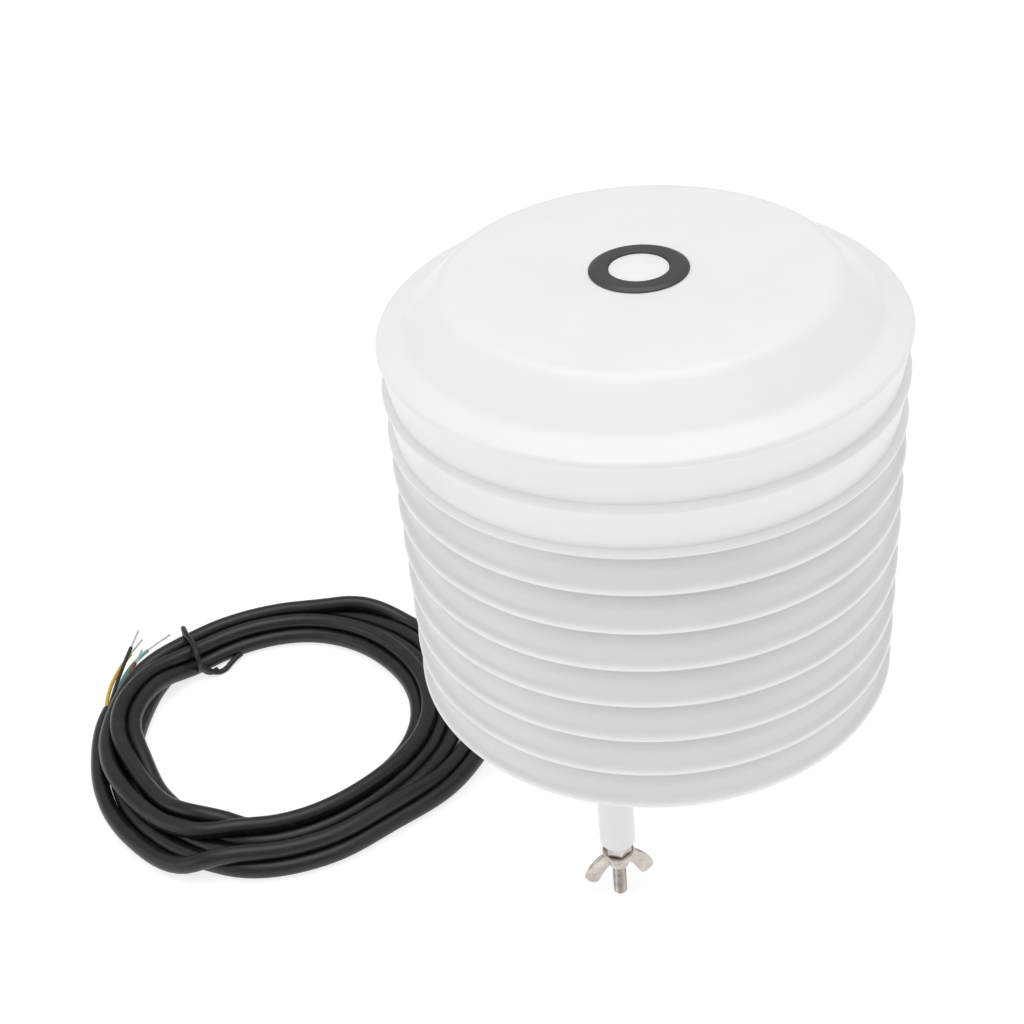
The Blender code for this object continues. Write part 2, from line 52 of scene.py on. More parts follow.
# Heights and radii of the shield stack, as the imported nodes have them
PLATES = [f"louvre_plate_{number}" for number in range(1, 8)]
PLATE_RIMS = [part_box(name)[0][2] for name in PLATES]
RIM_RADIUS = 0.0690
CHAMBER_RADIUS = 0.0400
WALL_FOOT_RADIUS = 0.0669
RIM_STEP = 0.0127
CAP_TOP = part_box("top_cap")[1][2]
BASE_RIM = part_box("housing_base")[0][2]
HOUSING_RIM = BASE_RIM + RIM_STEP
CAP_RIM = BASE_RIM + 2 * RIM_STEP


def middle_of(node):
    """Where a node's upright middle line meets the floor."""
    low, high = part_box(node)
    return (low[0] + high[0]) / 2, (low[1] + high[1]) / 2


LEG_PLACES = [middle_of(f"threaded_rod_{number}") for number in LEGS]
# The way each wing nut's first wing points at rest, as its node's does
WING_HEADINGS = [math.radians(14.5 + 100.0 * step) for step in range(3)]
GLAND = middle_of("gland_dome_nut")
PROBE = middle_of("probe_filter")


# ---------------------------------------------------------------- shader expressions


class Value:
    """A socket of a node tree, with the operators that add Math nodes."""

    def __init__(self, tree, socket):
        self.tree = tree
        self.socket = socket

    def node(self, kind, settings=None, output=0, **inputs):
        """Adds a node of a type, sets its settings, then its sockets by name or number."""
        made = self.tree.nodes.new(kind)
        for name, setting in (settings or {}).items():
            if name == "stops":
                ramp = made.color_ramp
                while len(ramp.elements) < len(setting):
                    ramp.elements.new(1.0)
                for element, (position, shade) in zip(ramp.elements, setting):
                    element.position = position
                    element.color = (shade, shade, shade, 1.0)
            else:
                setattr(made, name, setting)
        for name, given in inputs.items():
            key = int(name[1:]) if name[0] == "i" and name[1:].isdigit() else name.replace("_", " ")
            self.feed(made.inputs[key], given)
        return Value(self.tree, made.outputs[output])

    def feed(self, socket, given):
        if isinstance(given, Value):
            self.tree.links.new(given.socket, socket)
        else:
            socket.default_value = given

    def maths(self, operation, other=None, swapped=False):
        first, second = (other, self) if swapped else (self, other)
        inputs = {"i0": first} if second is None else {"i0": first, "i1": second}
        return self.node("ShaderNodeMath", {"operation": operation}, **inputs)

    def __add__(self, other):
        return self.maths("ADD", other)

    __radd__ = __add__

    def __sub__(self, other):
        return self.maths("SUBTRACT", other)

    def __rsub__(self, other):
        return self.maths("SUBTRACT", other, swapped=True)

    def __mul__(self, other):
        return self.maths("MULTIPLY", other)

    __rmul__ = __mul__

    def mixed(self, low, high):
        """The colour low where this is 0 and high where it is 1."""
        settings = {"data_type": "RGBA", "clamp_factor": True}
        return self.node("ShaderNodeMix", settings, output=2, i0=self, i6=(*low, 1.0), i7=(*high, 1.0))


class Finish:
    """A material with its Principled shader and the pattern sources it needs."""

    def __init__(self, name, **constants):
        self.material = bpy.data.materials.new(name)
        self.material.use_nodes = True
        self.tree = self.material.node_tree
        self.shader = self.tree.nodes["Principled BSDF"]
        for socket, constant in constants.items():
            self.shader.inputs[socket.replace("_", " ")].default_value = constant
        source = Value(self.tree, None)
        self.object_place = source.node("ShaderNodeTexCoord", output="Object")
        self.uv = source.node("ShaderNodeTexCoord", output="UV")

    def noise(self, scale, detail, roughness, place=None):
        """Cloudy noise from 0 to 1; its scale is in features per unit of its place."""
        place = place or self.object_place
        return place.node(
            "ShaderNodeTexNoise", Vector=place, Scale=scale, Detail=detail, Roughness=roughness
        )

    def stretched(self, x, y, z, place=None):
        """A place whose pattern is packed tighter by x, y and z along the three axes."""
        place = place or self.object_place
        return place.node("ShaderNodeMapping", Vector=place, Scale=(x, y, z))

    def along(self, axis, place):
        return place.node("ShaderNodeSeparateXYZ", output=axis, Vector=place)

    def ramp(self, value, *stops):
        """Grey from stops of (value, brightness)."""
        return value.node("ShaderNodeValToRGB", {"stops": stops}, Fac=value)

    def bump(self, height, depth, strength, under=None):
        """A height of 1 raised by a depth in metres, on top of the normal of a bump under it."""
        inputs = {"Height": height, "Distance": depth, "Strength": strength}
        if under is not None:
            inputs["Normal"] = under
        return height.node("ShaderNodeBump", **inputs)

    def give(self, **sockets):
        """Links values to the shader's sockets and returns the finished material."""
        for name, value in sockets.items():
            self.tree.links.new(value.socket, self.shader.inputs[name.replace("_", " ")])
        return self.material


# ---------------------------------------------------------------- surfaces worked out on grids


def grid_faces(rows, columns, close_rows=False):
    """Quads of a grid counted row after row: each row is a ring, and the last row can join the first."""
    r, c = np.meshgrid(np.arange(rows if close_rows else rows - 1), np.arange(columns), indexing="ij")
    r, c = r.ravel(), c.ravel()
    below, beside = (r + 1) % rows, (c + 1) % columns
    corners = [r * columns + c, r * columns + beside, below * columns + beside, below * columns + c]
    return np.stack(corners, axis=1)


class Shape:
    """Vertices, faces and one UV per vertex, collected before they become an object."""

    def __init__(self):
        self.points = []
        self.faces = []
        self.uvs = []
        self.count = 0

    def add(self, points, faces, uvs=None):
        """Adds a grid of points with faces that count from its first point."""
        points = np.asarray(points, float).reshape(-1, 3)
        self.points.append(points)
        self.faces.extend((np.asarray(faces) + self.count).tolist())
        self.uvs.append(np.zeros((len(points), 2)) if uvs is None else np.asarray(uvs).reshape(-1, 2))
        self.count += len(points)
        return self

    def caps(self, *loops):
        """Polygons over rings of the vertices added so far."""
        self.faces.extend([int(index) for index in loop] for loop in loops)
        return self

    def made(self, name, finish, sharp=40.0):
        """The object: smooth, with edges kept sharp where faces meet at more than that many degrees."""
        mesh = bpy.data.meshes.new(name)
        points = np.vstack(self.points)
        mesh.from_pydata(points.tolist(), [], self.faces)
        layer = mesh.uv_layers.new(name="UVMap")
        corner_vertices = np.empty(len(mesh.loops), np.int32)
        mesh.loops.foreach_get("vertex_index", corner_vertices)
        layer.data.foreach_set("uv", np.vstack(self.uvs)[corner_vertices].astype(np.float32).ravel())
        mesh.materials.append(finish)
        mesh.shade_smooth()
        mesh.set_sharp_from_angle(angle=math.radians(sharp))
        mesh.update()
        obj = bpy.data.objects.new(name, mesh)
        bpy.context.scene.collection.objects.link(obj)
        return obj


def rounded(corners, radii, steps):
    """A closed outline with each corner replaced by a curve of some steps.

    The curve runs from a point the radius short of the corner to a point the radius past it, and
    is the quadratic through both with the corner as its middle handle: (1-t)^2 a + 2t(1-t) c + t^2 b.
    A radius is cut back to 0.45 of the shorter side that meets at the corner.
    """
    corners = np.asarray(corners, float)
    radii = np.broadcast_to(np.asarray(radii, float), len(corners))
    before = np.roll(corners, 1, axis=0) - corners
    after = np.roll(corners, -1, axis=0) - corners
    reach_before = np.linalg.norm(before, axis=1)
    reach_after = np.linalg.norm(after, axis=1)
    cut = np.minimum(radii, 0.45 * np.minimum(reach_before, reach_after))[:, None]
    a = corners + before / reach_before[:, None] * cut
    b = corners + after / reach_after[:, None] * cut
    t = np.linspace(0.0, 1.0, steps)[None, :, None]
    curve = (1 - t) ** 2 * a[:, None] + 2 * t * (1 - t) * corners[:, None] + t**2 * b[:, None]
    return curve.reshape(-1, 2)


def turned(shape, outline, centre=(0.0, 0.0), around=SHIELD_SIDES, lift=0.0, solid=False):
    """An outline of (radius, height) points, down its outer side, turned about an upright axis.

    Point (i, j) is (r_i cos a_j, r_i sin a_j, h_i), with a_j in equal steps over a full turn. The
    outline is closed, or for a solid it is open, from beside the axis at the top to beside it at the
    bottom, with a small flat lid at each pole.
    """
    outline = np.asarray(outline, float)
    angle = np.arange(around) * math.tau / around
    radius, height = outline[:, :1], outline[:, 1:]
    x = centre[0] + radius * np.cos(angle)
    y = centre[1] + radius * np.sin(angle)
    z = np.broadcast_to(height + lift, x.shape)
    lengths = np.linalg.norm(np.diff(outline, axis=0, prepend=outline[:1]), axis=1)
    along = np.broadcast_to(np.cumsum(lengths)[:, None], x.shape)
    across = np.broadcast_to(angle / math.tau, x.shape)
    first = shape.count
    faces = grid_faces(len(outline), around, close_rows=not solid)[:, ::-1]
    shape.add(np.stack([x, y, z], axis=-1), faces, np.stack([across, along], axis=-1))
    if solid:
        last = first + (len(outline) - 1) * around
        shape.caps(first + np.arange(around), last + np.arange(around)[::-1])
    return shape


def stand_for(piece, *nodes, slot, body=BODY):
    """Puts a piece on its body in place of the nodes it stands for; the slot argument is not used."""
    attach(piece, body)
    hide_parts(*nodes)
    return piece


# ---------------------------------------------------------------- finishes


def moulded_white(name, colour, roughness, speck=0.012):
    """White moulded plastic: faint cloudiness, fine grain and a few soft flow marks."""
    finish = Finish(name, IOR=1.47)
    cloud = finish.noise(38.0, 4.0, 0.55)
    grain = finish.noise(2600.0, 2.0, 0.5)
    flow = finish.noise(90.0, 3.0, 0.6, finish.stretched(1.0, 1.0, 7.0))
    darker = tuple(channel * (1.0 - 2.2 * speck) for channel in colour)
    tone = finish.ramp(cloud * 0.7 + flow * 0.3, (0.30, 0.0), (0.70, 1.0))
    shine = roughness + (flow - 0.5) * 0.10 + (grain - 0.5) * 0.06
    normal = finish.bump(grain, 0.00002, 0.5, finish.bump(flow, 0.00004, 0.35))
    return finish.give(Base_Color=tone.mixed(darker, colour), Roughness=shine, Normal=normal)


def milky_diffuser():
    """Milky plastic with faint clouds and a matt grain."""
    finish = Finish("milky_diffuser", IOR=1.49)
    cloud = finish.noise(260.0, 3.0, 0.5)
    grain = finish.noise(4200.0, 2.0, 0.5)
    tone = cloud.mixed((0.90, 0.91, 0.92), (0.97, 0.97, 0.97))
    normal = finish.bump(grain, 0.00002, 0.6)
    return finish.give(Base_Color=tone, Roughness=0.42 + (grain - 0.5) * 0.12, Normal=normal)


def moulded_black(name, shade=0.020, roughness=0.36):
    """Black moulded plastic with a fine satin grain."""
    finish = Finish(name, IOR=1.5)
    grain = finish.noise(3000.0, 3.0, 0.6)
    cloud = finish.noise(130.0, 3.0, 0.5)
    deep = (shade * 0.8, shade * 0.8, shade * 0.82)
    pale = (shade * 1.3, shade * 1.3, shade * 1.35)
    tone = cloud.mixed(deep, pale)
    shine = roughness + (cloud - 0.5) * 0.12 + (grain - 0.5) * 0.10
    normal = finish.bump(grain, 0.00003, 0.6)
    return finish.give(Base_Color=tone, Roughness=shine, Normal=normal)


def nickel_plate():
    """Nickel-plated steel with a warm tint, fine drawn lines and darker patches at random."""
    finish = Finish("nickel_plate", Metallic=1.0)
    lines = finish.noise(1400.0, 4.0, 0.65, finish.stretched(1.0, 1.0, 0.12))
    stain = finish.noise(320.0, 4.0, 0.6)
    tone = finish.ramp(stain, (0.25, 0.0), (0.75, 1.0)).mixed((0.46, 0.42, 0.38), (0.72, 0.68, 0.63))
    shine = 0.22 + (lines - 0.5) * 0.16 + (stain - 0.5) * 0.14
    normal = finish.bump(lines, 0.00002, 0.5)
    return finish.give(Base_Color=tone, Roughness=shine, Normal=normal)


def sintered_grain():
    """Sintered metal: tight round grains, with painted shade darkening the pores between them."""
    finish = Finish("sintered_grain", Metallic=0.75)
    cells = finish.object_place.node(
        "ShaderNodeTexVoronoi", output="Distance", Vector=finish.object_place, Scale=2300.0
    )
    cloud = finish.noise(500.0, 3.0, 0.5)
    # Painted shade: the colour darkens towards the cell edges, where the bump sinks the pores.
    tone = finish.ramp(cells, (0.25, 1.0), (0.70, 0.0)).mixed((0.22, 0.22, 0.23), (0.60, 0.60, 0.61))
    normal = finish.bump(1.0 - cells, 0.00010, 0.9)
    return finish.give(Base_Color=tone, Roughness=0.55 + (cloud - 0.5) * 0.2, Normal=normal)


def cable_jacket():
    """Black PVC jacket: the surface is drawn along the cable, with dust and faint scuffs."""
    finish = Finish("cable_jacket", IOR=1.52)
    drawn = finish.noise(26.0, 4.0, 0.6, finish.stretched(3.0, 26.0, 1.0, finish.uv))
    scuff = finish.noise(210.0, 5.0, 0.65)
    fine = finish.noise(2800.0, 2.0, 0.5)
    worn = finish.ramp(scuff, (0.50, 0.0), (0.78, 1.0))
    tone = worn.mixed((0.0070, 0.0070, 0.0074), (0.018, 0.018, 0.019))
    shine = 0.36 + (drawn - 0.5) * 0.14 + worn * 0.12
    normal = finish.bump(fine, 0.00002, 0.5, finish.bump(drawn, 0.00004, 0.45))
    return finish.give(Base_Color=tone, Roughness=shine, Normal=normal)


def core_insulation(colour_name, colour):
    """Thin coloured insulation, a little darker in places from handling."""
    finish = Finish(f"core_{colour_name}", IOR=1.5)
    cloud = finish.noise(420.0, 3.0, 0.5)
    darker = tuple(channel * 0.72 for channel in colour)
    normal = finish.bump(cloud, 0.00003, 0.4)
    return finish.give(
        Base_Color=cloud.mixed(darker, colour), Roughness=0.38 + (cloud - 0.5) * 0.2, Normal=normal
    )


def tinned_strands():
    """Twisted tinned copper: slanted ridges that follow the strand, with painted shade darkening the grooves
    between them.
    """
    finish = Finish("tinned_strands", Metallic=1.0)
    ridge = finish.along("Y", finish.uv) * 6.0 + finish.along("X", finish.uv) * 9.0
    wave = (ridge * math.tau).maths("SINE") * 0.5 + 0.5
    # Painted shade: the colour darkens down into each groove of the twist and is palest on the crests.
    tone = wave.mixed((0.45, 0.43, 0.40), (0.80, 0.79, 0.77))
    normal = finish.bump(wave, 0.00006, 0.8)
    return finish.give(Base_Color=tone, Roughness=0.24 + wave * 0.12, Normal=normal)


def solder_mask():
    """Green solder mask over a woven glass board."""
    finish = Finish("solder_mask", IOR=1.5)
    weave = finish.noise(900.0, 2.0, 0.5, finish.stretched(1.0, 4.0, 1.0))
    tone = weave.mixed((0.010, 0.085, 0.035), (0.020, 0.150, 0.060))
    normal = finish.bump(weave, 0.00003, 0.5)
    return finish.give(Base_Color=tone, Roughness=0.34 + (weave - 0.5) * 0.2, Normal=normal)


WHITE_SHELL = moulded_white("white_shell", (0.935, 0.932, 0.936), 0.34)
WHITE_SLEEVE = moulded_white("white_sleeve", (0.86, 0.85, 0.855), 0.30, 0.02)
DIFFUSER = milky_diffuser()
BLACK_BEZEL = moulded_black("black_bezel", 0.048, 0.42)
BLACK_MOULDED = moulded_black("black_moulded")
SEAL_RUBBER = moulded_black("seal_rubber", 0.030, 0.70)
NICKEL = nickel_plate()
SINTERED = sintered_grain()
JACKET = cable_jacket()
TINNED = tinned_strands()
BOARD = solder_mask()
CORE_COLOURS = {
    "yellow": (0.84, 0.56, 0.07),
    "black": (0.022, 0.022, 0.024),
    "red": (0.26, 0.055, 0.06),
    "green": (0.22, 0.52, 0.46),
}
CORE_FINISHES = {name: core_insulation(name, colour) for name, colour in CORE_COLOURS.items()}


# ---------------------------------------------------------------- camera and light


CAMERA_PLACE = (0.0, -0.3597, 0.3667)
CAMERA_PITCH = math.radians(35.95)
CAMERA_ROLL = math.radians(-5.83)
CAMERA_YAW = math.radians(-6.09)
CAMERA_LENS = 55.57


def place_camera():
    """Looks down at the sensor from in front, turned a little to the left and tilted."""
    pitch, roll, yaw = CAMERA_PITCH, CAMERA_ROLL, CAMERA_YAW
    ahead = np.array(
        [math.sin(yaw) * math.cos(pitch), math.cos(yaw) * math.cos(pitch), -math.sin(pitch)]
    )
    level = np.array([math.cos(yaw), -math.sin(yaw), 0.0])
    upright = np.cross(level, ahead)
    right = math.cos(roll) * level + math.sin(roll) * upright
    up = -math.sin(roll) * level + math.cos(roll) * upright
    camera = bpy.data.objects.new("camera", bpy.data.cameras.new("camera"))
    camera.data.lens = CAMERA_LENS
    camera.data.sensor_width = 36.0
    camera.data.clip_start = 0.01
    place = np.eye(4)
    place[:3, 0], place[:3, 1], place[:3, 2] = right, up, -ahead
    place[:3, 3] = CAMERA_PLACE
    camera.matrix_world = Matrix(place.tolist())
    bpy.context.scene.collection.objects.link(camera)
    bpy.context.scene.camera = camera


def soft_light(name, place, size, power):
    """A square area light that faces the middle of the shield."""
    data = bpy.data.lights.new(name, "AREA")
    data.size = size
    data.energy = power
    lamp = bpy.data.objects.new(name, data)
    ahead = np.array([0.0, 0.0, 0.1]) - np.array(place)
    ahead /= np.linalg.norm(ahead)
    straight_down = abs(ahead[2]) > 0.99
    side = np.array([1.0, 0.0, 0.0]) if straight_down else np.cross(ahead, UPRIGHT)
    side /= np.linalg.norm(side)
    turn = np.eye(4)
    turn[:3, 0], turn[:3, 1], turn[:3, 2] = side, np.cross(side, ahead), -ahead
    turn[:3, 3] = place
    lamp.matrix_world = Matrix(turn.tolist())
    bpy.context.scene.collection.objects.link(lamp)


def light_studio():
    """A bright even surround, a wide light overhead and one at each side."""
    world = bpy.data.worlds.new("studio")
    world.use_nodes = True
    background = world.node_tree.nodes["Background"]
    background.inputs["Color"].default_value = (1.0, 1.0, 1.0, 1.0)
    background.inputs["Strength"].default_value = 0.50
    bpy.context.scene.world = world
    bpy.context.scene.view_settings.view_transform = "Standard"
    soft_light("overhead", (0.0, 0.02, 1.2), size=1.0, power=6.0)
    soft_light("left", (-1.2, -0.5, 0.6), size=0.8, power=2.0)
    soft_light("right", (1.2, -0.6, 0.6), size=0.8, power=1.2)


def lay_floor():
    """A wide flat floor that the tips of the rods touch, bright enough to drown most shadows."""
    half = 3.0
    corners = [(-half, -half, 0.0), (half, -half, 0.0), (half, half, 0.0), (-half, half, 0.0)]
    shape = Shape().add(corners, [[0, 1, 2, 3]])
    finish = Finish("pale_floor", Roughness=0.8, Emission_Strength=0.76)
    finish.shader.inputs["Emission Color"].default_value = (1.0, 1.0, 1.0, 1.0)
    cloud = finish.noise(3.0, 2.0, 0.5)
    finish.give(Base_Color=cloud.mixed((0.38, 0.38, 0.38), (0.41, 0.41, 0.41)))
    shape.made("floor", finish.material)


place_camera()
light_studio()
lay_floor()


# ---------------------------------------------------------------- cable

CABLE_RADIUS = 0.0027
POINT_SPACING = 0.0030
UV_PER_METRE = 10.0
TIE_RADIUS = 0.0010
CORE_RADIUS = 0.00068
STRAND_RADIUS = 0.00036
COIL_CENTRE = middle_of("cable_coil")
GLAND_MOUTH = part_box("gland_dome_nut")[0][2]


def smooth_through(points, steps):
    """Points on the curve that passes through each given point.

    Between points b and c, with neighbours a and d, it is the cubic
    (2b + (c-a)t + (2a-5b+4c-d)t^2 + (3b-a-3c+d)t^3) / 2.
    """
    points = np.asarray(points, float)
    padded = np.vstack([2 * points[0] - points[1], points, 2 * points[-1] - points[-2]])
    a, b, c, d = (padded[i : len(points) - 1 + i, None] for i in range(4))
    t = (np.arange(steps) / steps)[None, :, None]
    curve = (2 * b + (c - a) * t + (2 * a - 5 * b + 4 * c - d) * t**2 + (3 * b - a - 3 * c + d) * t**3) / 2
    return np.vstack([curve.reshape(-1, points.shape[1]), points[-1:]])


def evenly(points, spacing):
    """The same path with its points an equal distance apart."""
    run = np.concatenate([[0.0], np.cumsum(np.linalg.norm(np.diff(points, axis=0), axis=1))])
    at = np.linspace(0.0, run[-1], max(2, int(round(run[-1] / spacing)) + 1))
    return np.stack([np.interp(at, run, points[:, axis]) for axis in range(3)], axis=1)


def lead_points():
    """From the gland's mouth down to the floor, then round behind the third leg to the coil's side."""
    return [
        (GLAND[0], 0.0, GLAND_MOUTH - 0.0003),
        (GLAND[0], 0.0, 0.1100),
        (GLAND[0], 0.0003, 0.0850),
        (0.0140, 0.0015, 0.0600),
        (0.0139, 0.0045, 0.0380),
        (0.0132, 0.0120, 0.0200),
        (0.0110, 0.0230, 0.0085),
        (0.0060, 0.0360, 0.0038),
        (-0.0030, 0.0480, 0.0029),
        (-0.0160, 0.0560, 0.0029),
        (-0.0310, 0.0572, 0.0029),
        (-0.0436, 0.0508, 0.0029),
        (-0.0510, 0.0400, 0.0029),
        (-0.0532, 0.0300, 0.0029),
    ]


# Where the cable lies as it goes round, clockwise from the side next to the sensor: the turn, the
# distance of its middle line from the coil's middle, and its height, both in millimetres
COIL_TURNS = [
    (0.0000, 70.6, 2.9), (0.0625, 65.0, 2.9), (0.1250, 59.3, 2.9), (0.1875, 60.3, 2.9),
    (0.2500, 62.0, 2.9), (0.3125, 59.8, 2.9), (0.3750, 58.0, 2.9), (0.5000, 56.4, 2.9),
    (0.6250, 59.6, 4.6), (0.7500, 58.8, 3.0), (0.8750, 57.6, 2.9), (1.0000, 57.6, 2.9),
    (1.1250, 53.9, 2.9), (1.2500, 56.6, 2.9), (1.3750, 52.6, 2.9), (1.5000, 51.2, 2.9),
    (1.6250, 54.2, 4.6), (1.7500, 53.4, 3.0), (1.8750, 51.2, 2.9), (2.0000, 51.4, 2.9),
    (2.1250, 48.5, 2.9), (2.2500, 51.2, 2.9), (2.3125, 49.2, 2.9), (2.3750, 47.6, 3.2),
    (2.4375, 48.6, 6.5), (2.5000, 52.6, 8.2), (2.5625, 52.0, 8.2), (2.6250, 49.0, 5.0),
    (2.7500, 48.0, 3.0), (2.8750, 45.8, 2.9), (3.0000, 46.0, 2.9), (3.1250, 43.3, 2.9),
    (3.2500, 46.0, 3.4), (3.2800, 47.0, 6.2), (3.3125, 48.6, 8.0), (3.3750, 50.4, 7.8),
    (3.4375, 51.5, 11.5), (3.5000, 55.4, 12.6), (3.5625, 55.2, 12.6), (3.6250, 52.0, 9.6),
    (3.7500, 50.8, 7.7), (3.8750, 48.6, 7.7), (4.0000, 48.8, 7.6), (4.1250, 46.2, 7.6),
    (4.2500, 48.6, 7.6), (4.2800, 51.2, 8.2), (4.3125, 54.6, 8.2), (4.3750, 56.4, 8.2),
    (4.5000, 59.2, 8.2), (4.5625, 59.6, 8.2), (4.6250, 57.4, 9.6), (4.7500, 56.8, 7.8),
    (4.8125, 61.0, 7.4), (4.8750, 63.0, 3.2), (5.0000, 64.2, 2.9), (5.0625, 60.6, 5.8),
    (5.1250, 56.6, 7.6), (5.1875, 57.8, 7.8), (5.2500, 59.4, 8.0), (5.2800, 62.4, 8.2),
    (5.3125, 65.0, 5.6), (5.3750, 63.6, 2.9), (5.5000, 61.8, 2.9), (5.5250, 61.5, 2.9),
]


def coil_points():
    """The coil's own stretch: angle -360 t degrees, with radius and height from the turns above."""
    turn, radius, height = smooth_through(COIL_TURNS, 4).T
    angle = -math.tau * turn
    x = COIL_CENTRE[0] + radius / 1000.0 * np.cos(angle)
    y = COIL_CENTRE[1] + radius / 1000.0 * np.sin(angle)
    return np.stack([x, y, height / 1000.0], axis=1)


def carried_frames(path):
    """Two directions across a path at each point, turned as little as possible from one to the next."""
    ahead = np.gradient(path, axis=0)
    ahead /= np.linalg.norm(ahead, axis=1)[:, None]
    across = np.empty_like(path)
    start = np.array([1.0, 0.0, 0.0]) if abs(ahead[0, 0]) < 0.9 else np.array([0.0, 1.0, 0.0])
    across[0] = start - ahead[0] * (start @ ahead[0])
    for i in range(1, len(path)):
        across[i] = across[i - 1] - ahead[i] * (across[i - 1] @ ahead[i])
        across[i] /= np.linalg.norm(across[i])
    across[0] /= np.linalg.norm(across[0])
    return across, np.cross(ahead, across), ahead


def tube(shape, path, radius, sides, loop=False):
    """A circle of that radius carried along a path, with rounded ends when it isn't a loop.

    Point (i, j) is p_i + radius_i (u_i cos a_j + v_i sin a_j); the radius shrinks over the last
    rings at each end as a quarter circle does. A loop lies about in one plane, whose normal is v.
    The UV map runs round the tube in X and along it in Y.
    """
    path = np.asarray(path, float)
    radius = np.full(len(path), radius)
    if loop:
        ahead = np.roll(path, -1, axis=0) - np.roll(path, 1, axis=0)
        ahead /= np.linalg.norm(ahead, axis=1)[:, None]
        normal = np.linalg.svd(path - path.mean(axis=0))[2][2]
        v = np.broadcast_to(normal, path.shape)
        u = np.cross(v, ahead)
    else:
        u, v, ahead = carried_frames(path)
        end_rings = 3
        bend = min(radius[0] * 0.25, 0.0004)
        turn = np.linspace(0.0, math.pi / 2, end_rings + 1)[:-1]
        inset = bend * (1 - np.cos(turn))
        rim = bend * (1 - np.sin(turn))
        start = path[0] + ahead[0] * inset[:, None]
        end = path[-1] - ahead[-1] * inset[::-1, None]
        path = np.vstack([start, path[1:-1], end])
        first_rings, last_rings = [0] * end_rings, [-1] * end_rings
        u, v = (np.vstack([part[first_rings], part[1:-1], part[last_rings]]) for part in (u, v))
        radius = np.concatenate([radius[0] - rim, radius[1:-1], radius[-1] - rim[::-1]])
    angle = np.arange(sides) * math.tau / sides
    ring = u[:, None] * np.cos(angle)[:, None] + v[:, None] * np.sin(angle)[:, None]
    points = path[:, None] + ring * radius[:, None, None]
    run = np.concatenate([[0.0], np.cumsum(np.linalg.norm(np.diff(path, axis=0), axis=1))])
    uvs = np.stack(np.broadcast_arrays(angle / math.tau, run[:, None] * UV_PER_METRE), axis=-1)
    first = shape.count
    shape.add(points, grid_faces(len(path), sides, close_rows=loop), uvs)
    if not loop:
        last = first + (len(path) - 1) * sides
        shape.caps(first + np.arange(sides)[::-1], last + np.arange(sides))
    return shape


def settled(path, fixed, rounds=140):
    """The cable once it has come to rest on the floor and on itself.

    Each round moves points of different turns that are closer than one diameter straight apart by a
    share of what is missing, draws every point back over its own place, lowers it a little, evens its
    displacement out with its neighbours', and lifts what is below the floor. The points before the
    fixed one stay where they are.
    """
    neighbours, push_share, stay_share, sink, even_share = 10, 0.5, 0.985, 0.00004, 0.22
    diameter = 2 * CABLE_RADIUS
    home = path.copy()
    number = np.arange(len(path))
    other_turn = np.abs(number[:, None] - number) > neighbours
    free = (number >= fixed)[:, None]
    for _ in range(rounds):
        gap = path[:, None] - path
        reach = np.linalg.norm(gap, axis=2)
        missing = np.where(other_turn, np.maximum(diameter - reach, 0.0) / np.maximum(reach, 1e-6), 0.0)
        touching = np.maximum((missing > 0).sum(axis=1), 1)[:, None]
        push = (gap * missing[..., None]).sum(axis=1) / touching
        moved = path - home + push_share * push
        moved[:, :2] *= stay_share
        moved[:, 2] -= sink
        moved[1:-1] += even_share * (moved[:-2] + moved[2:] - 2 * moved[1:-1])
        path = np.where(free, home + moved, home)
        path[:, 2] = np.maximum(path[:, 2], CABLE_RADIUS)
    return path


def lay_cable():
    """The jacket: a tube on the settled curve through the lead and the coil, and that curve."""
    lead = lead_points()
    route = np.vstack([lead, coil_points()])
    path = evenly(smooth_through(route, 6), POINT_SPACING)
    fixed = int(np.argmin(np.linalg.norm(path - lead[-1], axis=1)))
    path = evenly(smooth_through(settled(path, fixed)[::2], 4), POINT_SPACING)
    piece = tube(Shape(), path, CABLE_RADIUS, 20).made("cable", JACKET)
    stand_for(piece, "cable_lead", "cable_coil", slot="black_cable")
    return piece, path


cable, cable_path = lay_cable()


def lay_cores(path):
    """Stripped cores that leave the jacket's end side by side and fan out beside the coil.

    A core's point at a share s of its reach is the jacket's end, plus reach * s ahead, plus its place
    in the bundle and its drift to the side, plus its place in the bundle and rise * s^1.5 upwards.
    """
    end = path[-1]
    ahead = path[-1] - path[-3]
    ahead /= np.linalg.norm(ahead)
    side = np.cross(ahead, UPRIGHT)
    inside_jacket = 0.0020
    share = np.linspace(0.0, 1.0, 6)
    pieces = []
    # For each core: its place in the bundle, sideways and up, its drift at each quarter of its
    # reach, its reach and its rise
    fans = {
        "yellow": (0.0009, 0.0, [0.0022, 0.0026, 0.0004, -0.0026], 0.0360, 0.0030),
        "black": (-0.0002, 0.0012, [0.0008, 0.0010, 0.0004, -0.0006], 0.0370, 0.0052),
        "red": (-0.0011, 0.0004, [-0.0004, -0.0006, -0.0014, -0.0026], 0.0300, 0.0030),
        "green": (-0.0004, -0.0009, [0.0010, 0.0016, -0.0020, -0.0095], 0.0420, 0.0012),
    }
    for colour, (out, up, drift, reach, rise) in fans.items():
        sideways = out + np.interp(share, [0.0, 0.25, 0.5, 0.75, 1.0], [0.0, *drift])
        route = (
            end
            + ahead * (reach * share - inside_jacket)[:, None]
            - side * sideways[:, None]
            + UPRIGHT * (up + rise * share**1.5)[:, None]
        )
        route = smooth_through(route, 6)
        # The insulation ends six points short, and the strands start two points inside it
        cut = len(route) - 6
        insulated = tube(Shape(), route[:cut], CORE_RADIUS, 12)
        insulated = insulated.made(f"core_{colour}_wire", CORE_FINISHES[colour])
        stand_for(insulated, f"core_{colour}", slot=f"core_{colour}")
        strands = tube(Shape(), route[cut - 2 :], STRAND_RADIUS, 10).made(f"core_{colour}_strands", TINNED)
        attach(strands, BODY)
        pieces += [insulated, strands]
    return pieces


